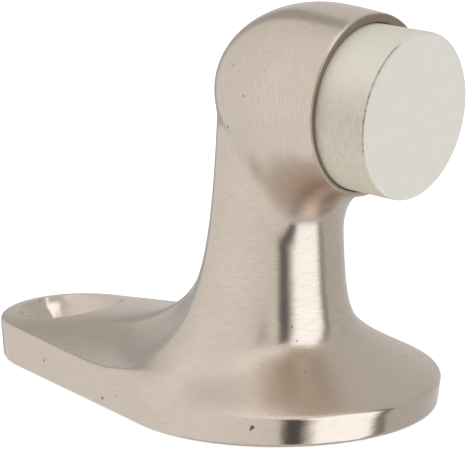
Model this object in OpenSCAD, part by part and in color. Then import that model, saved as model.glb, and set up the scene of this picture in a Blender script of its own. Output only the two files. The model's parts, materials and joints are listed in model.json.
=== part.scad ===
// Floor door stop: a cast body with an egg-shaped foot, a flared post and a domed head.
// The head's cup holds a rubber bumper, moulded on a threaded stud.
//
// Frame: the origin is where the post's axis meets the floor.
// +X points the way the bumper faces, +Z is up, and the XZ plane is the plane of symmetry.

/* [Foot] */
// Radius of the round front of the foot, about the post's axis
front_r = 24.05; // [22:0.05:26]
// Radius of the round tail of the foot
tail_r = 12.1; // [11:0.05:13]
// Distance from the post's axis back to the tail's centre
tail_x = 37.8; // [35:0.1:42]
// Height of the foot's wall at the front
front_wall_h = 4.3; // [3.5:0.1:5.5]
// Height of the foot's wall round the tail
tail_wall_h = 5.9; // [5:0.1:7]
// Extra height of the wall at the shoulder, where the tail leaves the round front
shoulder_rise = 2.1; // [0:0.1:3.5]
// Width of the small rounding along the wall's top edge
edge_r = 0.6; // [0.3:0.1:1]
// How much further the foot's top drops near its edge in front
brow_drop = 0.7; // [0:0.1:1.5]
// How far in from the edge that drop reaches
brow_reach = 2.9; // [1.5:0.1:5]
// Depth of the relief under the foot
relief_depth = 0.8; // [0.4:0.1:1.5]

/* [Post] */
// Radius that the post tends to, on its front half
post_front_r = 9.3; // [8:0.1:10]
// Radius that the post tends to, on its back half, before its wider flare
post_back_r = 7.0; // [6.5:0.1:9]
// Reach of the flare from the post into the foot, in front
front_flare = 6.8; // [5:0.1:16]
// Reach of the flare from the post into the tail
back_flare = 62; // [9:1:80]
// Distance from the post's axis where the flare runs out into the foot's top
flare_end = 22.25; // [18:0.05:23]
// Slope of the foot's top in front and at the sides
front_slope = 0.43; // [0.2:0.01:0.6]
// Slope of the foot's top along the tail
tail_slope = 0.14; // [0.05:0.01:0.25]

/* [Head] */
// Height of the head's axis above the floor
head_z = 47.2; // [44:0.1:52]
// Outside radius of the head at its rim
rim_r = 13.2; // [13:0.1:13.4]
// Greatest outside radius of the head
head_r = 13.5; // [13.4:0.1:14.5]
// Distance from the post's axis to the rim
rim_x = 17.0; // [15:0.1:18]
// Distance from the rim back to the head's widest place
barrel_l = 7.6; // [6:0.1:10]
// Length of the dome behind the head's widest place
dome_l = 17.9; // [15:0.1:19]
// Radius of the cup that holds the bumper
cup_r = 12.2; // [12.15:0.05:12.3]
// How far the cup's axis lies below the head's axis
cup_drop = 0.4; // [0:0.1:0.5]
// Depth of the cup
cup_depth = 6.5; // [5:0.1:8]

/* [Bumper] */
// Radius of the bumper inside the cup
pad_r = 12.05; // [11:0.05:12.1]
// Radius of the bumper's face
face_r = 12.2; // [12.1:0.05:12.6]
// How far the face stands out of the rim
pad_out = 8.4; // [6:0.1:11]
// Radius of the stud
stud_r = 2.4; // [2:0.05:2.45]
// Depth of the stud's hole below the cup's floor
stud_depth = 9.5; // [6:0.1:11]
// Radius of the stud's head, inside the rubber
stud_head_r = 5.5; // [4:0.1:8]

/* [Fixings] */
// Distance from the post's axis back to the rear screw hole
screw_x = 40.8; // [39:0.1:41.5]
// Radius of the rear screw hole
screw_r = 3.3; // [2.4:0.1:3.5]
// Radius of the countersink at the height of the tail's wall
sink_r = 6.9; // [6:0.1:7.2]
// Included angle of the countersink
sink_angle = 82; // [80:2:100]
// Radius of the tapped hole under the post
bolt_r = 2.6; // [2:0.1:3.3]
// Depth of the tapped hole under the post
bolt_depth = 16; // [8:0.5:20]

/* [Hidden] */

nickel = [0.78, 0.73, 0.67];
rubber = [0.85, 0.83, 0.78];
steel = [0.62, 0.62, 0.64];

round_fn = 96;         // facets shown on a full circle
run_out = 0.4;         // softness of the flare's end
front_steps = 34;      // points along the foot's round front
side_steps = 9;        // points along each straight side
tail_steps = 14;       // points round the tail
flare_steps = 15;      // rings from the wall's edge up into the head
head_steps = 14;       // bands along the barrel, and along the dome
pad_seat_gap = 0.05;   // the bumper stands this clear of the cup's floor
pad_edge = 0.4;        // chamfer round the bumper's face
stud_gap = 0.05;       // radial clearance of the stud in its hole
stud_head_h = 1.8;     // thickness of the stud's head
land = 3.0;            // width of the land round the relief
screw_boss_r = 8.2;    // land round the rear screw hole
bolt_boss_r = 8.0;     // land round the tapped hole
sink_cut_h = 9;        // height of the cone that cuts the countersink
over = 1;              // how far a cutter runs past the face it cuts

cup_x = rim_x - cup_depth;
cup_z = head_z - cup_drop;
face_x = rim_x + pad_out;
sink_slope = tan(sink_angle / 2);
sink_low_z = tail_wall_h - (sink_r - screw_r) / sink_slope;

// The straight sides touch both circles; this is the turn of their outward normal from +Y.
side_turn = asin((front_r - tail_r) / tail_x);

function arc(cx, r, from, to, steps) =
    [for (i = [0:steps]) let (a = from + (to - from) * i / steps) [cx + r * cos(a), r * sin(a)]];

// The foot's outline, drawn in by the given distance, counter-clockwise seen from above.
function outline(inset = 0) =
    let (
        normal = 90 + side_turn,
        front = arc(0, front_r - inset, -normal, normal, front_steps),
        tail = arc(-tail_x, tail_r - inset, normal, 360 - normal, tail_steps),
        side = [for (i = [1:side_steps - 1]) let (t = i / side_steps)
            front[front_steps] * (1 - t) + tail[0] * t]
    )
    concat(front, side, tail, [for (i = [1:side_steps - 1]) let (p = side[side_steps - 1 - i])
        [p[0], -p[1]]]);

function smooth(t) = let (u = max(0, min(1, t))) u * u * (3 - 2 * u);

// Height of the wall's top edge where the outline stands at x.
shoulder_x = -0.37 * front_r;
shoulder_w = 0.3 * front_r;
function wall_h(x) =
    front_wall_h
    + (tail_wall_h - front_wall_h) * smooth((front_r / 3 - x) / (front_r * 1.27))
    + shoulder_rise * exp(-pow((x - shoulder_x) / shoulder_w, 2));

// How far the ray to edge point p points backwards: 0 in front of the post, 1 behind it.
function backness(p) = smooth((0.6 - p[0] / norm(p)) / 1.2);

function mix(front, back, p) = front + (back - front) * backness(p);

// The flare's height at distance d. It runs out at flare_end, with a soft corner there.
function flare_h(p, d) =
    let (
        core_r = mix(post_front_r, post_back_r, p),
        h = mix(front_flare, back_flare, p) * (1 / (d - core_r) - 1 / (flare_end - core_r))
    )
    (h + sqrt(h * h + run_out * run_out)) / 2;

// Height of the foot's top and the post at distance d from the axis, on the ray to edge point p.
function top_z(p, d) =
    let (inward = norm(p) - d)
    wall_h(p[0])
    + mix(front_slope, tail_slope, p) * inward
    + mix(brow_drop, 0, p) * (1 - exp(-inward / brow_reach))
    + flare_h(p, d) - flare_h(p, norm(p));

// Ring i of the flare: its distances from the post's core shrink by a constant ratio.
function flare_ring(points, i) =
    [for (p = points) let (
        core_r = mix(post_front_r, post_back_r, p),
        far = norm(p) - edge_r - core_r,
        near = mix(front_flare, back_flare, p) / (head_z - wall_h(p[0])),
        d = core_r + far * pow(near / far, i / flare_steps)
    ) [p[0] * d / norm(p), p[1] * d / norm(p), min(head_z, top_z(p, d))]];

function level_ring(points, drop) = [for (p = points) [p[0], p[1], wall_h(p[0]) - drop]];

module foot_and_post() {
    points = outline();
    n = len(points);
    rings = concat(
        [[for (p = points) [p[0], p[1], 0]], level_ring(points, edge_r)],
        [for (i = [0:flare_steps]) flare_ring(points, i)]
    );
    last = len(rings) - 1;
    verts = concat([for (r = rings) each r], [[0, 0, 0], [0, 0, head_z]]);
    low = n * (last + 1);
    faces = concat(
        [for (k = [0:last - 1], j = [0:n - 1]) let (a = k * n + j, b = k * n + (j + 1) % n)
            each [[a, b + n, b], [a, a + n, b + n]]],
        [for (j = [0:n - 1]) [low, j, (j + 1) % n]],
        [for (j = [0:n - 1]) [low + 1, last * n + (j + 1) % n, last * n + j]]
    );
    polyhedron(verts, faces, convexity = 4);
}

// Half section of the head, as [radius, distance along its axis from the back of the dome].
function head_profile() =
    concat(
        [[0, 0]],
        [for (i = [1:head_steps]) let (a = 90 * i / head_steps)
            [head_r * sin(a), dome_l * (1 - cos(a))]],
        [for (i = [1:head_steps / 2]) let (t = 2 * i / head_steps)
            [rim_r + (head_r - rim_r) * cos(90 * t), dome_l + barrel_l * t]],
        [[0, dome_l + barrel_l]]
    );

// Turns a shape drawn along +Z to lie along +X at height z, starting at x.
module lying(x, z) {
    translate([x, 0, z])
        rotate([0, 90, 0])
            children();
}

module head() {
    lying(rim_x - barrel_l - dome_l, head_z)
        rotate_extrude($fn = round_fn)
            polygon(head_profile());
}

module cup_and_stud_hole() {
    lying(cup_x, cup_z)
        cylinder(r = cup_r, h = cup_depth + over, $fn = round_fn);
    lying(cup_x - stud_depth, cup_z)
        cylinder(r = stud_r + stud_gap, h = stud_depth + over, $fn = round_fn);
}

// The countersink widens past the foot's top, so it cuts further where the foot is higher.
module screw_hole() {
    translate([-screw_x, 0, -over])
        cylinder(r = screw_r, h = sink_low_z + 2 * over, $fn = round_fn);
    translate([-screw_x, 0, sink_low_z])
        cylinder(r1 = screw_r, r2 = screw_r + sink_cut_h * sink_slope, h = sink_cut_h, $fn = round_fn);
}

module relief() {
    translate([0, 0, -over])
        linear_extrude(relief_depth + over)
            difference() {
                polygon(outline(land));
                circle(r = bolt_boss_r, $fn = round_fn);
                translate([-screw_x, 0])
                    circle(r = screw_boss_r, $fn = round_fn);
            }
}

module body_casting() {
    color(nickel)
        difference() {
            union() {
                foot_and_post();
                head();
            }
            cup_and_stud_hole();
            screw_hole();
            relief();
            translate([0, 0, -over])
                cylinder(r = bolt_r, h = bolt_depth + over, $fn = round_fn);
        }
}

module stud_shape() {
    stud_l = stud_depth - stud_gap + 2 * stud_head_h;
    lying(cup_x - stud_depth + stud_gap, cup_z)
        cylinder(r = stud_r, h = stud_l, $fn = round_fn);
    lying(cup_x + stud_head_h, cup_z)
        cylinder(r = stud_head_r, h = stud_head_h, $fn = round_fn);
}

module bumper_pad() {
    seat = pad_seat_gap;
    length = face_x - cup_x;
    color(rubber)
        difference() {
            lying(cup_x, cup_z)
                rotate_extrude($fn = round_fn)
                    polygon([
                        [0, seat],
                        [pad_r - pad_edge, seat],
                        [pad_r, seat + pad_edge],
                        [pad_r, cup_depth + pad_out / 3],
                        [face_r, length - pad_edge],
                        [face_r - pad_edge, length],
                        [0, length]
                    ]);
            stud_shape();
        }
}

module bumper_stud() {
    color(steel)
        stud_shape();
}

body_casting();
bumper_pad();
bumper_stud();
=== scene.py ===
"""A floor door stop: the casting, its rubber bumper and the bumper's stud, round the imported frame."""

import json
import math

import bmesh
import bpy
import numpy as np
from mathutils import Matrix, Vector


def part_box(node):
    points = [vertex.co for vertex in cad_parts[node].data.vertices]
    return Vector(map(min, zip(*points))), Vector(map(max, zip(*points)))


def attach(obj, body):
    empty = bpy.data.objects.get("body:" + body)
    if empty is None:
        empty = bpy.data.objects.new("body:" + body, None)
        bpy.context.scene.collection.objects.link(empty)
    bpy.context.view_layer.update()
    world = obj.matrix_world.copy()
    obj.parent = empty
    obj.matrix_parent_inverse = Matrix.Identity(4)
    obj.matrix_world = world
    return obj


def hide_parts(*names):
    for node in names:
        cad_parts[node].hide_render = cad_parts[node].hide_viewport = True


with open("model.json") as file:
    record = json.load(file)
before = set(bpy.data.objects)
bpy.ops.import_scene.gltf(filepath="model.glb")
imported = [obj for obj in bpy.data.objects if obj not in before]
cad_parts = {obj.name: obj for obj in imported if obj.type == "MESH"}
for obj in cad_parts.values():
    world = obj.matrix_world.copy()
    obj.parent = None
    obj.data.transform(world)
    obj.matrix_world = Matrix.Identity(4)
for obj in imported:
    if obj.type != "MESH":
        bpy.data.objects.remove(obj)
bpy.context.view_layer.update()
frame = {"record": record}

# Lengths are in millimetres until a mesh is made. The named sizes repeat those of the CAD model.
MM = 0.001
cast_lo, cast_hi = (np.array(corner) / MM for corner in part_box("body_casting"))
pad_lo, pad_hi = (np.array(corner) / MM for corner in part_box("bumper_pad"))
stud_lo, stud_hi = (np.array(corner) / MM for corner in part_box("bumper_stud"))
mounts = {m["name"]: m for m in frame["record"]["mounts"]}

# Foot
FRONT_R = cast_hi[1]
TAIL_R = 12.1
TAIL_X = -cast_lo[0] - TAIL_R
FRONT_WALL_H = 4.3
TAIL_WALL_H = 5.9
SHOULDER_RISE = 2.1
SHOULDER_X = -0.37 * FRONT_R
SHOULDER_W = 0.3 * FRONT_R
BROW_DROP = 0.7
BROW_REACH = 2.9
SOLE_EDGE_R = 0.6
WALL_TUCK = 0.42
RELIEF_DEPTH = 0.8
RELIEF_LAND = 3.0

# Post
CORE_FRONT_R = 9.3
CORE_BACK_R = 7.0
FRONT_FLARE = 6.8
BACK_FLARE = 62.0
FLARE_END = 22.25
RUN_OUT = 0.4
FRONT_SLOPE = 0.43
TAIL_SLOPE = 0.14
NECK_FILLET = 9.5
NAPE_FILLET = 0.8
# Above this height the rings turn from level to upright, to run into the head
ELBOW_Z = 24.0
ELBOW_RINGS = 110

# Head
HEAD_R = 13.5
HEAD_Z = cast_hi[2] - HEAD_R
RIM_R = 13.2
RIM_X = 17.0
BARREL_L = 7.6
DOME_L = 17.9
RIM_EDGE_R = 0.35
CUP_R = 12.2
CUP_X = 10.5
CUP_EDGE_R = 0.2
CUP_DEPTH = RIM_X - CUP_X

# Bumper, whose axis is a little below the head's
BUMPER_Z = (pad_lo[2] + pad_hi[2]) / 2
PAD_R = 12.05
FACE_R = pad_hi[1]
FACE_EDGE_R = 0.45
STUD_R = 2.4
STUD_GAP = 0.05
STUD_HEAD_R = stud_hi[1]
STUD_HEAD_H = 1.8
THREAD_PITCH = 0.8
THREAD_DEPTH = 0.4

# Fixings
SCREW_X = -mounts["rear_screw_hole"]["pos_m"][0] / MM
SCREW_R = mounts["rear_screw_hole"]["dims"]["r_mm"]
SINK_R = 6.9
SINK_SLOPE = math.tan(math.radians(41))
BOLT_R = mounts["floor_bolt_hole"]["dims"]["r_mm"]
BOLT_DEPTH = mounts["floor_bolt_hole"]["dims"]["length_mm"]
BOSS_R = 8.1


# ---------------------------------------------------------------- shape helpers


def smooth(t):
    t = np.clip(t, 0, 1)
    return t * t * (3 - 2 * t)


def bump(t):
    """A smooth hill, 1 at 0 and 0 from 1 outwards."""
    return 1 - smooth(np.abs(t))


def soft_union(a, b, width):
    """The smaller of two distances, blended where they are within width of each other."""
    near = np.maximum(width - np.abs(a - b), 0) / width
    return np.minimum(a, b) - near * near * width / 4


def mesh_object(name, verts_mm, faces):
    mesh = bpy.data.meshes.new(name)
    mesh.from_pydata((np.asarray(verts_mm) * MM).tolist(), [], faces)
    mesh.validate()
    bm = bmesh.new()
    bm.from_mesh(mesh)
    bmesh.ops.remove_doubles(bm, verts=bm.verts, dist=1e-7)
    bmesh.ops.recalc_face_normals(bm, faces=bm.faces)
    bm.to_mesh(mesh)
    bm.free()
    obj = bpy.data.objects.new(name, mesh)
    bpy.context.scene.collection.objects.link(obj)
    return obj


def skin(name, rings, cap_start=True, cap_end=True):
    """A closed mesh through rings that all have the same number of points."""
    rings = np.asarray(rings)
    count, around = rings.shape[:2]
    faces = []
    for k in range(count - 1):
        for j in range(around):
            a = k * around + j
            b = k * around + (j + 1) % around
            faces.append((a, b, b + around, a + around))
    if cap_start:
        faces.append(tuple(reversed(range(around))))
    if cap_end:
        faces.append(tuple(range((count - 1) * around, count * around)))
    return mesh_object(name, rings.reshape(-1, 3), faces)


def at(angle, distance, z):
    """Points at a distance from the post's axis, along each angle, at height z."""
    z = np.broadcast_to(z, angle.shape)
    return np.stack([distance * np.cos(angle), distance * np.sin(angle), z], axis=-1)


def turned_z(name, profile, x=0.0, around=96):
    """A solid of revolution about the vertical axis through x, from [(radius, height), ...]."""
    angles = np.linspace(0, 2 * np.pi, around, endpoint=False)
    rings = [at(angles, r, z) + (x, 0, 0) for r, z in profile]
    return skin(name, rings)


def cut(target, cutter):
    """Subtracts cutter from target and deletes it."""
    modifier = target.modifiers.new("cut", "BOOLEAN")
    modifier.operation = "DIFFERENCE"
    modifier.solver = "EXACT"
    modifier.object = cutter
    depsgraph = bpy.context.evaluated_depsgraph_get()
    result = bpy.data.meshes.new_from_object(target.evaluated_get(depsgraph))
    target.modifiers.remove(modifier)
    old = target.data
    target.data = result
    result.name = old.name + "_cut"
    bpy.data.meshes.remove(old)
    bpy.data.objects.remove(cutter, do_unlink=True)


def shade(obj, sharp_degrees):
    obj.data.shade_smooth()
    obj.data.set_sharp_from_angle(angle=math.radians(sharp_degrees))


# ---------------------------------------------------------------- the casting's surfaces


def edge_distance(angle):
    """Distance from the post's axis to the foot's outline, along each angle."""
    turn = (TAIL_R - FRONT_R) / TAIL_X
    normal = np.array([turn, math.sqrt(1 - turn * turn)])
    c, s = np.cos(angle), np.abs(np.sin(angle))
    on_side = FRONT_R / np.maximum(normal[0] * c + normal[1] * s, 1e-6)
    reach = np.maximum(TAIL_R**2 - (TAIL_X * s) ** 2, 0)
    on_tail = -TAIL_X * c + np.sqrt(reach)
    a = np.arctan2(s, c)
    side_from = math.atan2(normal[1], normal[0])
    side_to = math.atan2(TAIL_R * normal[1], TAIL_R * normal[0] - TAIL_X)
    return np.where(a < side_from, FRONT_R, np.where(a < side_to, on_side, on_tail))


def wall_height(x):
    back = smooth((FRONT_R / 3 - x) / (FRONT_R * 1.27))
    hill = np.exp(-(((x - SHOULDER_X) / SHOULDER_W) ** 2))
    return FRONT_WALL_H + (TAIL_WALL_H - FRONT_WALL_H) * back + SHOULDER_RISE * hill


def between(front, back, angle):
    """A value that goes from front to back round the post."""
    return front + (back - front) * smooth((0.6 - np.cos(angle)) / 1.2)


def flare_values(angle):
    """The flare's core radius, its reach and the slope of the foot's top, along each angle."""
    return (
        between(CORE_FRONT_R, CORE_BACK_R, angle),
        between(FRONT_FLARE, BACK_FLARE, angle),
        between(FRONT_SLOPE, TAIL_SLOPE, angle),
    )


def flare_height(angle, distance):
    core, reach, _ = flare_values(angle)
    h = reach * (1 / (distance - core) - 1 / (FLARE_END - core))
    return (h + np.sqrt(h * h + RUN_OUT**2)) / 2


def top_height(angle, distance):
    """Height of the foot's top and of the post at a distance from the axis."""
    edge = edge_distance(angle)
    slope = flare_values(angle)[2]
    brow = between(BROW_DROP, 0, angle) * (1 - np.exp((distance - edge) / BROW_REACH))
    flare = flare_height(angle, distance) - flare_height(angle, edge)
    return wall_height(edge * np.cos(angle)) + slope * (edge - distance) + brow + flare


def post_radius(angle, z):
    """The post's radius at height z, well above the foot, and how fast it changes with z."""
    edge = edge_distance(angle)
    core, reach, slope = flare_values(angle)
    base = wall_height(edge * np.cos(angle)) + slope * (edge - core) + between(BROW_DROP, 0, angle)
    base = base - reach / (FLARE_END - core) - flare_height(angle, edge)
    root = np.sqrt((z - base) ** 2 + 4 * slope * reach)
    return core + (base - z + root) / (2 * slope), ((z - base) / root - 1) / (2 * slope)


def post_gap(p):
    """About how far each point is outside the post, which ends level with the head's axis."""
    radius, rate = post_radius(np.arctan2(p[..., 1], p[..., 0]), p[..., 2])
    side = (np.hypot(p[..., 0], p[..., 1]) - radius) / np.sqrt(1 + rate * rate)
    return -soft_union(-side, HEAD_Z - p[..., 2], NAPE_FILLET)


def head_gap(p):
    """About how far each point is outside the head."""
    x = p[..., 0] - (RIM_X - BARREL_L)
    radius = np.hypot(p[..., 1], p[..., 2] - HEAD_Z)
    barrel = radius - (RIM_R + (HEAD_R - RIM_R) * np.cos(np.clip(x / BARREL_L, 0, 1) * np.pi / 2))
    size = np.hypot(x / DOME_L, radius / HEAD_R)
    steep = np.maximum(np.hypot(x / DOME_L**2, radius / HEAD_R**2), 1e-9)
    return np.where(x > 0, barrel, size * (size - 1) / steep)


def neck_gap(p):
    """About how far each point is outside the casting, with a wide fillet under the barrel."""
    fillet = NAPE_FILLET + (NECK_FILLET - NAPE_FILLET) * smooth((p[..., 0] + 1.5) / 10.5)
    return soft_union(post_gap(p), head_gap(p), fillet)


def first_crossing(start, direction, gap, reach=46.0, step=0.25):
    """For each ray, the point where gap first turns positive."""
    inside = np.zeros(start.shape[:-1])
    found = np.zeros(start.shape[:-1], bool)
    for t in np.arange(step, reach, step):
        outside = gap(start + t * direction) > 0
        found |= outside
        inside = np.where(found, inside, t)
    low, high = inside, inside + step
    for _ in range(22):
        middle = (low + high) / 2
        outside = gap(start + middle[..., None] * direction) > 0
        high = np.where(outside, middle, high)
        low = np.where(outside, low, middle)
    return start + ((low + high) / 2)[..., None] * direction


# ---------------------------------------------------------------- the casting's rings


def outline_angles():
    """The angles of the points round the foot's outline, starting at the tail's end."""
    turn = math.asin((FRONT_R - TAIL_R) / TAIL_X)
    normal = math.pi / 2 + turn
    tail = np.linspace(-math.pi, -normal, 27)[:-1]
    half = [np.stack([-TAIL_X + TAIL_R * np.cos(tail), TAIL_R * np.sin(tail)], axis=1)]
    tail_end = np.array([-TAIL_X + TAIL_R * math.cos(-normal), TAIL_R * math.sin(-normal)])
    front_end = FRONT_R * np.array([math.cos(-normal), math.sin(-normal)])
    t = np.linspace(0, 1, 53)[:-1, None]
    half.append(tail_end * (1 - t) + front_end * t)
    front = np.linspace(-normal, 0, 67)
    half.append(FRONT_R * np.stack([np.cos(front), np.sin(front)], axis=1))
    half = np.concatenate(half)
    angles = np.arctan2(half[:, 1], half[:, 0])
    angles[0] = -math.pi
    return np.concatenate([angles, -angles[-2:0:-1]])


def edge_rounding(angle):
    """How far the rounding of the foot's top edge reaches down the wall and in along the top."""
    shoulder = bump((np.abs(np.degrees(angle)) - 92) / 36)
    return 0.5 + 1.9 * shoulder, 0.7 + 3.4 * shoulder


def foot_rings(angle, top_z):
    """From the sole's edge up the wall, over its rounded edge and up the flare to top_z."""
    edge = edge_distance(angle)
    down, inward = edge_rounding(angle)
    rings = []
    for a in np.linspace(0, math.pi / 2, 5):
        inset = WALL_TUCK + SOLE_EDGE_R * (1 - math.sin(a))
        rings.append(at(angle, edge - inset, SOLE_EDGE_R * (1 - math.cos(a))))
    core = flare_values(angle)[0]
    inner = edge - inward
    inner_z = top_height(angle, inner)
    steep = (top_height(angle, inner - 0.01) - inner_z) / 0.01
    corner_z = inner_z - steep * inward
    wall_top = corner_z - down
    for t in np.linspace(0, 1, 6)[1:]:
        rings.append(at(angle, edge - WALL_TUCK * (1 - t), SOLE_EDGE_R + (wall_top - SOLE_EDGE_R) * t))
    for t in np.linspace(0, 1, 11)[1:-1]:
        a, b, c = (1 - t) ** 2, 2 * t * (1 - t), t * t
        rings.append(at(angle, (a + b) * edge + c * inner, a * wall_top + b * corner_z + c * inner_z))
    last = post_radius(angle, top_z)[0]
    for t in np.linspace(0, 1, 90):
        distance = core + (inner - core) * ((last - core) / (inner - core)) ** t
        rings.append(at(angle, distance, top_height(angle, distance)))
    return rings


def elbow_rings(angle, pivot_x, pivot_z, count):
    """From the post's level ring round to the head's upright ring, in planes through the pivot."""
    rings = []
    for turn in np.linspace(0, math.pi / 2, count)[1:]:
        out = np.array([-math.cos(turn), 0, math.sin(turn)])
        blend = math.sin(turn) ** 2
        reach = pivot_x * (1 - blend) + (HEAD_Z - pivot_z) * blend
        centre = np.array([pivot_x, 0, pivot_z]) + reach * out
        direction = -np.cos(angle)[:, None] * out + np.sin(angle)[:, None] * np.array([0, 1, 0])
        rings.append(first_crossing(np.broadcast_to(centre, direction.shape), direction, neck_gap))
    return rings


def upright_ring(angle, x, radius, axis_z):
    y = radius * np.sin(angle)
    z = axis_z - radius * np.cos(angle)
    return np.stack([np.full_like(angle, x), y, z], axis=1)


def rim_rings(angle):
    """Over the rim, down the cup's wall, across its floor and down the stud's hole."""
    quarter = np.linspace(0, math.pi / 2, 5)
    outer = [
        (RIM_X - RIM_EDGE_R * (1 - math.sin(a)), RIM_R - RIM_EDGE_R * (1 - math.cos(a)))
        for a in quarter[1:]
    ]
    profile = [
        (RIM_X - CUP_EDGE_R * (1 - math.cos(a)), CUP_R + CUP_EDGE_R * (1 - math.sin(a)))
        for a in quarter
    ]
    profile += [(x, CUP_R) for x in np.linspace(RIM_X - CUP_EDGE_R, CUP_X, 5)[1:]]
    hole_r = STUD_R + STUD_GAP
    profile += [(CUP_X, r) for r in np.linspace(CUP_R, hole_r + 0.4, 4)[1:]]
    profile += [(CUP_X - 0.4, hole_r), (stud_lo[0], hole_r), (stud_lo[0] - hole_r / 2, 0.05)]
    rings = [upright_ring(angle, x, r, HEAD_Z) for x, r in outer]
    return rings + [upright_ring(angle, x, r, BUMPER_Z) for x, r in profile]


def casting():
    angle = outline_angles()
    rings = foot_rings(angle, ELBOW_Z)
    rings += elbow_rings(angle, RIM_X - RIM_EDGE_R, ELBOW_Z, ELBOW_RINGS)
    rings += rim_rings(angle)
    obj = skin("casting", rings)
    sink_low = TAIL_WALL_H - (SINK_R - SCREW_R) / SINK_SLOPE
    sink = [(SCREW_R, -1), (SCREW_R, sink_low), (SCREW_R + 9 * SINK_SLOPE, sink_low + 9)]
    cut(obj, turned_z("screw_cutter", sink, x=-SCREW_X))
    cut(obj, relief_cutter(angle))
    cut(obj, turned_z("bolt_cutter", [(BOLT_R, -1), (BOLT_R, BOLT_DEPTH), (0.05, BOLT_DEPTH + 1)]))
    shade(obj, 32)
    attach(obj, "casting")
    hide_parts("body_casting")
    return obj


def relief_cutter(angle):
    """The sole's relief: the outline drawn in, with the two bosses left standing."""
    edge = edge_distance(angle) - RELIEF_LAND
    cutter = skin("relief_cutter", [at(angle, edge, z) for z in (-1.0, RELIEF_DEPTH)])
    for x in (0.0, -SCREW_X):
        cut(cutter, turned_z("boss", [(BOSS_R, -2), (BOSS_R, 2)], x=x))
    return cutter


# ---------------------------------------------------------------- the bumper


def along_x(name, profile, warp, around=128):
    """A turned solid about the bumper's axis, from [(x, radius), ...], with its radii scaled by warp."""
    angle = np.linspace(-math.pi, math.pi, around, endpoint=False)
    rings = [upright_ring(angle, x, r * warp(angle, x), BUMPER_Z) for x, r in profile]
    return skin(name, rings)


def bumper_pad():
    """The rubber: straight in the cup, flaring a little to a flat face with a worn round edge."""
    seat, face = pad_lo[0], pad_hi[0]
    flare_from = CUP_X + CUP_DEPTH
    quarter = np.linspace(0, math.pi / 2, 6)
    profile = [(seat, STUD_R), (seat, PAD_R - 0.4), (seat + 0.4, PAD_R)]
    for t in np.linspace(0, 1, 30):
        x = seat + 0.8 + (face - FACE_EDGE_R - seat - 0.8) * t
        flare = smooth((x - flare_from) / (face - flare_from))
        profile.append((x, PAD_R + (FACE_R - PAD_R) * flare))
    for a in quarter[1:]:
        back, inward = FACE_EDGE_R * (1 - math.sin(a)), FACE_EDGE_R * (1 - math.cos(a))
        profile.append((face - back, FACE_R - inward))
    for r in np.linspace(FACE_R - FACE_EDGE_R, 0.5, 24)[1:]:
        profile.append((face, r))

    def uneven(a, x):
        """The face is a little oval, and the oval leans."""
        out = smooth((x - flare_from) / (face - flare_from))
        return 1 + out * (0.033 * np.cos(2 * a + 1.4) - 0.025)

    obj = along_x("bumper", profile, uneven)
    shade(obj, 40)
    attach(obj, "bumper")
    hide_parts("bumper_pad")
    return obj


def stud():
    """The stud: a helical thread along its shank, and the flat head the rubber is moulded round."""
    start, end = stud_lo[0], stud_hi[0]
    around, step = 48, 0.1
    angle = np.linspace(-math.pi, math.pi, around, endpoint=False)
    thread_end = CUP_X + 1.2

    def ring(x, radius):
        return upright_ring(angle, x, radius, BUMPER_Z)

    rings = [ring(start, 0.05), ring(start, STUD_R - 0.9)]
    for x in np.arange(start + 0.1, thread_end, step):
        phase = (x / THREAD_PITCH - angle / (2 * math.pi)) % 1
        crest = np.abs(2 * phase - 1)
        lead = min(1.0, (x - start + 0.5) / 1.1)
        rings.append(ring(x, (STUD_R - THREAD_DEPTH * (1 - smooth(1.35 * crest))) * lead))
    rings.append(ring(thread_end + 0.2, STUD_R))
    rings.append(ring(end - STUD_HEAD_H, STUD_R))
    rings.append(ring(end - STUD_HEAD_H, STUD_HEAD_R))
    rings.append(ring(end, STUD_HEAD_R))
    rings.append(ring(end, 0.05))
    obj = skin("stud", rings)
    shade(obj, 50)
    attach(obj, "bumper")
    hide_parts("bumper_stud")
    return obj


# ---------------------------------------------------------------- material helpers


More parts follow.
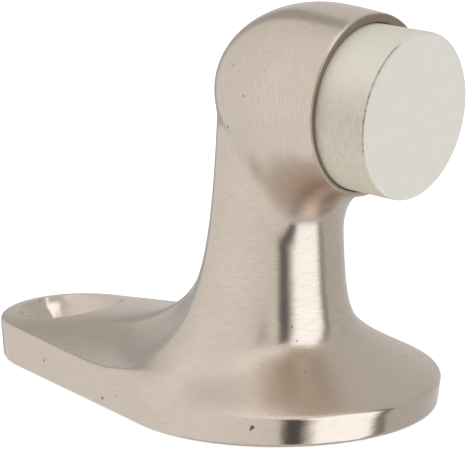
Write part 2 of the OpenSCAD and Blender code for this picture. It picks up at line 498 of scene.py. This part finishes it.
class Nodes:
    """Short names for the nodes a material or the world is made of."""

    def __init__(self, tree):
        self.tree = tree
        tree.nodes.clear()

    def node(self, kind, **settings):
        made = self.tree.nodes.new(kind)
        for name, value in settings.items():
            setattr(made, name, value)
        return made

    def put(self, socket, value):
        if isinstance(value, bpy.types.NodeSocket):
            self.tree.links.new(value, socket)
        elif value is not None:
            socket.default_value = value

    def math(self, operation, a, b=None, c=None):
        made = self.node("ShaderNodeMath", operation=operation)
        for socket, value in zip(made.inputs, (a, b, c)):
            self.put(socket, value)
        return made.outputs[0]

    def vector(self, operation, a, b=None):
        made = self.node("ShaderNodeVectorMath", operation=operation)
        for socket, value in zip(made.inputs, (a, b)):
            self.put(socket, value)
        return made.outputs["Value" if operation in ("DOT_PRODUCT", "LENGTH", "DISTANCE") else "Vector"]

    def step(self, value, low, high):
        """0 below low, 1 above high, smooth between; low above high turns it round."""
        made = self.node("ShaderNodeMapRange", interpolation_type="SMOOTHSTEP")
        for name, given in (("Value", value), ("From Min", low), ("From Max", high)):
            self.put(made.inputs[name], given)
        return made.outputs["Result"]

    def between(self, value, low, high, soft):
        """1 from low to high, and 0 outside."""
        rise = self.step(value, low - soft, low + soft)
        fall = self.step(value, high + soft, high - soft)
        return self.math("MULTIPLY", rise, fall)

    def mix(self, amount, a, b):
        made = self.node("ShaderNodeMix", data_type="RGBA", clamp_factor=True)
        for socket, value in ((made.inputs[0], amount), (made.inputs[6], a), (made.inputs[7], b)):
            self.put(socket, value)
        return made.outputs[2]

    def blend(self, amount, a, b):
        made = self.node("ShaderNodeMix", data_type="FLOAT", clamp_factor=True)
        for socket, value in ((made.inputs[0], amount), (made.inputs[2], a), (made.inputs[3], b)):
            self.put(socket, value)
        return made.outputs[0]

    def noise(self, coordinates, scale=1.0, detail=3.0, roughness=0.55):
        made = self.node("ShaderNodeTexNoise")
        self.put(made.inputs["Vector"], coordinates)
        made.inputs["Scale"].default_value = scale
        made.inputs["Detail"].default_value = detail
        made.inputs["Roughness"].default_value = roughness
        return made.outputs["Fac"]

    def place_mm(self):
        """Where on the piece a point is, in millimetres, and its three parts."""
        here = self.node("ShaderNodeTexCoord").outputs["Object"]
        mm = self.vector("MULTIPLY", here, (1000.0, 1000.0, 1000.0))
        parts = self.node("ShaderNodeSeparateXYZ")
        self.put(parts.inputs[0], mm)
        return mm, parts.outputs["X"], parts.outputs["Y"], parts.outputs["Z"]

    def relief(self, height_um, strength=1.0, below=None):
        """A bumped normal from a height in thousandths of a millimetre."""
        made = self.node("ShaderNodeBump")
        made.inputs["Strength"].default_value = strength
        made.inputs["Distance"].default_value = 1e-6
        self.put(made.inputs["Height"], height_um)
        self.put(made.inputs["Normal"], below)
        return made.outputs["Normal"]


def grey(level):
    return (level, level, level, 1.0)


def srgb(red, green, blue):
    """A colour given in the 0-255 steps of a screen, for a shader socket."""
    parts = [c / 255 for c in (red, green, blue)]
    return tuple(c / 12.92 if c <= 0.04045 else ((c + 0.055) / 1.055) ** 2.4 for c in parts) + (1.0,)


def material(name, obj):
    made = bpy.data.materials.new(name)
    made.use_nodes = True
    obj.data.materials.clear()
    obj.data.materials.append(made)
    nodes = Nodes(made.node_tree)
    shader = nodes.node("ShaderNodeBsdfPrincipled")
    output = nodes.node("ShaderNodeOutputMaterial")
    nodes.put(output.inputs["Surface"], shader.outputs["BSDF"])
    return nodes, shader.inputs


# ---------------------------------------------------------------- the materials


def satin_nickel(obj):
    nodes, shader = material("satin_nickel", obj)
    here, x, _, z = nodes.place_mm()
    normal_z = nodes.node("ShaderNodeSeparateXYZ")
    nodes.put(normal_z.inputs[0], nodes.node("ShaderNodeNewGeometry").outputs["Normal"])
    level = nodes.step(normal_z.outputs["Z"], 0.45, 0.85)
    on_head = nodes.step(z, 33.0, 38.0)
    on_deck = nodes.math("MULTIPLY", level, nodes.math("SUBTRACT", 1.0, nodes.step(z, 12.0, 22.0)))

    # Brush marks: round the post and the wall, across the foot's top, and round the head's own axis.
    around_post = nodes.vector("MULTIPLY", here, (0.6, 0.6, 3.4))
    turned = nodes.node("ShaderNodeVectorRotate", rotation_type="Z_AXIS")
    nodes.put(turned.inputs["Vector"], here)
    turned.inputs["Angle"].default_value = math.radians(-20)
    across_deck = nodes.vector("MULTIPLY", turned.outputs[0], (0.6, 3.4, 3.4))
    around_head = nodes.vector("MULTIPLY", here, (3.4, 0.6, 0.6))
    marks = nodes.noise(around_post, 1.0, 3.0, 0.6)
    marks = nodes.blend(on_deck, marks, nodes.noise(across_deck, 1.0, 3.0, 0.6))
    marks = nodes.blend(on_head, marks, nodes.noise(around_head, 1.0, 3.0, 0.6))
    cast = nodes.noise(here, 0.25, 2.0)

    # The countersink and its bore are cut bright.
    level_offset = nodes.vector("MULTIPLY", nodes.vector("ADD", here, (SCREW_X, 0, 0)), (1, 1, 0))
    from_screw = nodes.vector("LENGTH", level_offset)
    in_sink = nodes.step(from_screw, SINK_R + 0.9, SINK_R + 0.3)
    in_sink = nodes.math("MULTIPLY", in_sink, nodes.step(normal_z.outputs["Z"], 0.93, 0.86))

    uneven = nodes.step(nodes.noise(here, 0.12, 2.0), 0.3, 0.7)
    base = nodes.mix(uneven, (0.705, 0.605, 0.512, 1.0), (0.68, 0.58, 0.492, 1.0))
    base = nodes.mix(nodes.step(marks, 0.35, 0.7), base, (0.64, 0.55, 0.467, 1.0))

    # The rim's face is duller than the rest, and its colour is painted darker and browner: painted shade
    # standing in for the brown reflection on it.
    on_rim = nodes.math("MULTIPLY", on_head, nodes.step(x, RIM_X - 0.12, RIM_X - 0.02))
    base = nodes.mix(on_rim, base, (0.34, 0.28, 0.21, 1.0))
    # A few small pits in the plating.
    spots = nodes.step(nodes.noise(here, 0.8, 1.0), 0.775, 0.8)
    base = nodes.mix(spots, base, (0.16, 0.13, 0.10, 1.0))

    shader["Metallic"].default_value = 1.0
    nodes.put(shader["Base Color"], base)
    # The brushing is finer on the wall than on the post, and coarsest where the wheel can't reach well.
    roughness = nodes.blend(nodes.step(z, 5.0, 9.0), 0.13, nodes.blend(uneven, 0.18, 0.21))
    roughness = nodes.blend(on_deck, roughness, 0.29)
    under_barrel = nodes.math("MULTIPLY", nodes.step(x, 1.0, 7.0), nodes.between(z, 31.0, 40.0, 2.0))
    roughness = nodes.blend(under_barrel, roughness, 0.34)
    roughness = nodes.blend(in_sink, roughness, 0.06)
    nodes.put(shader["Roughness"], nodes.blend(on_rim, roughness, 0.45))
    height = nodes.math("MULTIPLY", marks, 15.0)
    height = nodes.math("ADD", height, nodes.math("MULTIPLY", cast, 30.0))
    height = nodes.math("SUBTRACT", height, nodes.math("MULTIPLY", spots, 40.0))
    chatter = nodes.math("MULTIPLY", nodes.noise(here, 0.22, 1.0), 330.0)
    height = nodes.blend(in_sink, height, chatter)
    nodes.put(shader["Normal"], nodes.relief(height))


def bumper_rubber(obj):
    nodes, shader = material("bumper_rubber", obj)
    here, x, _, z = nodes.place_mm()
    on_face = nodes.step(x, pad_hi[0] - 0.25, pad_hi[0] - 0.05)
    mottle = nodes.noise(here, 0.5, 4.0)
    side = nodes.mix(mottle, srgb(220, 213, 198), srgb(229, 223, 209))
    # Painted shade: the side is darker towards the bottom, broken into vertical streaks, standing in for
    # the light that falls from above.
    streaks = nodes.noise(nodes.vector("MULTIPLY", here, (2.6, 2.6, 0.35)), 1.0, 3.0)
    lower_painted_shade = nodes.step(z, BUMPER_Z + 9.0, BUMPER_Z + 1.0)
    lower_painted_shade = nodes.math("MULTIPLY", lower_painted_shade, nodes.blend(nodes.step(streaks, 0.35, 0.65), 0.75, 1.0))
    side = nodes.mix(lower_painted_shade, side, srgb(188, 178, 162))
    face = nodes.mix(mottle, srgb(205, 200, 188), srgb(213, 209, 198))
    base = nodes.mix(on_face, side, face)

    # The line left where the flash was trimmed, round one side of the face.
    out = nodes.vector("DOT_PRODUCT", nodes.vector("SUBTRACT", here, (0, 0, BUMPER_Z)), (0, -0.88, 0.47))
    trimmed = nodes.step(out, 0.62 * FACE_R, 0.78 * FACE_R)
    trimmed = nodes.math("MULTIPLY", trimmed, nodes.between(x, pad_hi[0] - 0.34, pad_hi[0] - 0.12, 0.06))
    specks = nodes.step(nodes.noise(here, 1.9, 3.0), 0.42, 0.62)
    line = nodes.mix(specks, srgb(172, 158, 136), srgb(112, 96, 76))
    base = nodes.mix(nodes.math("MULTIPLY", trimmed, 0.85), base, line)
    nodes.put(shader["Base Color"], base)
    nodes.put(shader["Roughness"], nodes.blend(mottle, 0.5, 0.65))
    shader["Specular IOR Level"].default_value = 0.35
    fine = nodes.noise(here, 3.0, 3.0)
    nodes.put(shader["Normal"], nodes.relief(nodes.math("MULTIPLY", fine, 25.0)))


def zinc_steel(obj):
    nodes, shader = material("zinc_steel", obj)
    here = nodes.place_mm()[0]
    cloud = nodes.noise(here, 0.8, 3.0)
    nodes.put(shader["Base Color"], nodes.mix(cloud, srgb(168, 170, 172), srgb(196, 196, 192)))
    nodes.put(shader["Roughness"], nodes.blend(cloud, 0.25, 0.4))
    shader["Metallic"].default_value = 1.0
    nodes.put(shader["Normal"], nodes.relief(nodes.math("MULTIPLY", nodes.noise(here, 4.0), 8.0)))


# ---------------------------------------------------------------- the studio

CAMERA_AZIMUTH = math.radians(39.35)
CAMERA_ELEVATION = math.radians(15.15)
CAMERA_DISTANCE = 0.82
CAMERA_ABOUT = Vector((0, 0, 0.028))
CAMERA_AIM = Vector((-0.00447, -0.00416, 0.02657))
CAMERA_LENS = 434.15


def camera():
    level = math.cos(CAMERA_ELEVATION)
    back = Vector(
        (math.sin(CAMERA_AZIMUTH) * level, -math.cos(CAMERA_AZIMUTH) * level, math.sin(CAMERA_ELEVATION))
    )
    data = bpy.data.cameras.new("camera")
    data.lens = CAMERA_LENS
    data.sensor_width = 36.0
    data.clip_start = 0.05
    data.clip_end = 20.0
    obj = bpy.data.objects.new("camera", data)
    bpy.context.scene.collection.objects.link(obj)
    obj.location = CAMERA_ABOUT + back * CAMERA_DISTANCE
    obj.rotation_euler = (CAMERA_AIM - obj.location).to_track_quat("-Z", "Y").to_euler()
    bpy.context.scene.camera = obj


# The studio: a soft room, brighter on one side, with an overhead panel, a dim floor and a few upright
# panels. Levels are against a white of 1. Sides are degrees from the camera's side, positive to its
# right, and heights are degrees above the horizon.
ROOM_LEVEL = 0.76
ROOM_SWING = 0.17
ROOM_BRIGHT_SIDE = -65
FLOOR_LEVEL = 0.65
OVERHEAD_LEVEL = 1.15
SOFTBOX = 1.55
PANELS = {
    "softbox": {"sides": (28, 75), "heights": (-48, 60), "level": SOFTBOX},
    "front_flag": {"sides": (4, 21), "heights": (-46, 55), "level": 0.1},
    "side_flag": {"sides": (79, 87), "heights": (-48, 48), "level": 0.2},
    "back_flag": {"sides": (-171, -156), "heights": (-25, 55), "level": 0.42},
}
PANEL_EDGE = 4


def studio_light():
    """The soft room and its panels, so that the metal shows a few soft bands."""
    world = bpy.data.worlds.new("studio")
    world.use_nodes = True
    bpy.context.scene.world = world
    nodes = Nodes(world.node_tree)
    turned = nodes.node("ShaderNodeVectorRotate", rotation_type="Z_AXIS")
    nodes.put(turned.inputs["Vector"], nodes.node("ShaderNodeTexCoord").outputs["Generated"])
    turned.inputs["Angle"].default_value = math.pi / 2 - CAMERA_AZIMUTH
    parts = nodes.node("ShaderNodeSeparateXYZ")
    nodes.put(parts.inputs[0], turned.outputs[0])
    radians = nodes.math("ARCTAN2", parts.outputs["Y"], parts.outputs["X"])
    side = nodes.math("MULTIPLY", radians, 180 / math.pi)
    height = nodes.math("MULTIPLY", nodes.math("ARCSINE", parts.outputs["Z"]), 180 / math.pi)

    swing = nodes.math("COSINE", nodes.math("SUBTRACT", radians, math.radians(ROOM_BRIGHT_SIDE)))
    level = nodes.math("MULTIPLY_ADD", swing, ROOM_SWING, ROOM_LEVEL)
    level = nodes.blend(nodes.step(height, -46.0, -56.0), level, FLOOR_LEVEL)
    level = nodes.blend(nodes.step(height, 64.0, 78.0), level, OVERHEAD_LEVEL)
    for panel in PANELS.values():
        across = nodes.between(side, *panel["sides"], PANEL_EDGE)
        up = nodes.between(height, *panel["heights"], PANEL_EDGE)
        level = nodes.blend(nodes.math("MULTIPLY", across, up), level, panel["level"])
    cool = nodes.mix(nodes.step(level, 1.0, SOFTBOX), (1.0, 1.0, 1.0, 1.0), (0.95, 1.0, 1.08, 1.0))
    seen = nodes.node("ShaderNodeLightPath").outputs["Is Camera Ray"]
    light = nodes.node("ShaderNodeBackground")
    nodes.put(light.inputs["Color"], cool)
    nodes.put(light.inputs["Strength"], level)
    white = nodes.node("ShaderNodeBackground")
    white.inputs["Color"].default_value = grey(1.0)
    white.inputs["Strength"].default_value = 1.05
    choose = nodes.node("ShaderNodeMixShader")
    nodes.put(choose.inputs[0], seen)
    nodes.put(choose.inputs[1], light.outputs[0])
    nodes.put(choose.inputs[2], white.outputs[0])
    output = nodes.node("ShaderNodeOutputWorld")
    nodes.put(output.inputs["Surface"], choose.outputs[0])


def floor():
    """A plain pale floor. It glows a little, to stay near white, and isn't seen in reflections."""
    half = 3.0
    corners = [(-half, -half, 0), (half, -half, 0), (half, half, 0), (-half, half, 0)]
    mesh = bpy.data.meshes.new("floor")
    mesh.from_pydata(corners, [], [(0, 1, 2, 3)])
    obj = bpy.data.objects.new("floor", mesh)
    bpy.context.scene.collection.objects.link(obj)
    obj.visible_glossy = False
    shader = material("floor", obj)[1]
    shader["Base Color"].default_value = grey(0.85)
    shader["Roughness"].default_value = 1.0
    shader["Specular IOR Level"].default_value = 0.0
    shader["Emission Color"].default_value = grey(1.0)
    shader["Emission Strength"].default_value = 0.55


satin_nickel(casting())
bumper_rubber(bumper_pad())
zinc_steel(stud())
floor()
studio_light()
camera()
bpy.context.scene.view_settings.view_transform = "Standard"
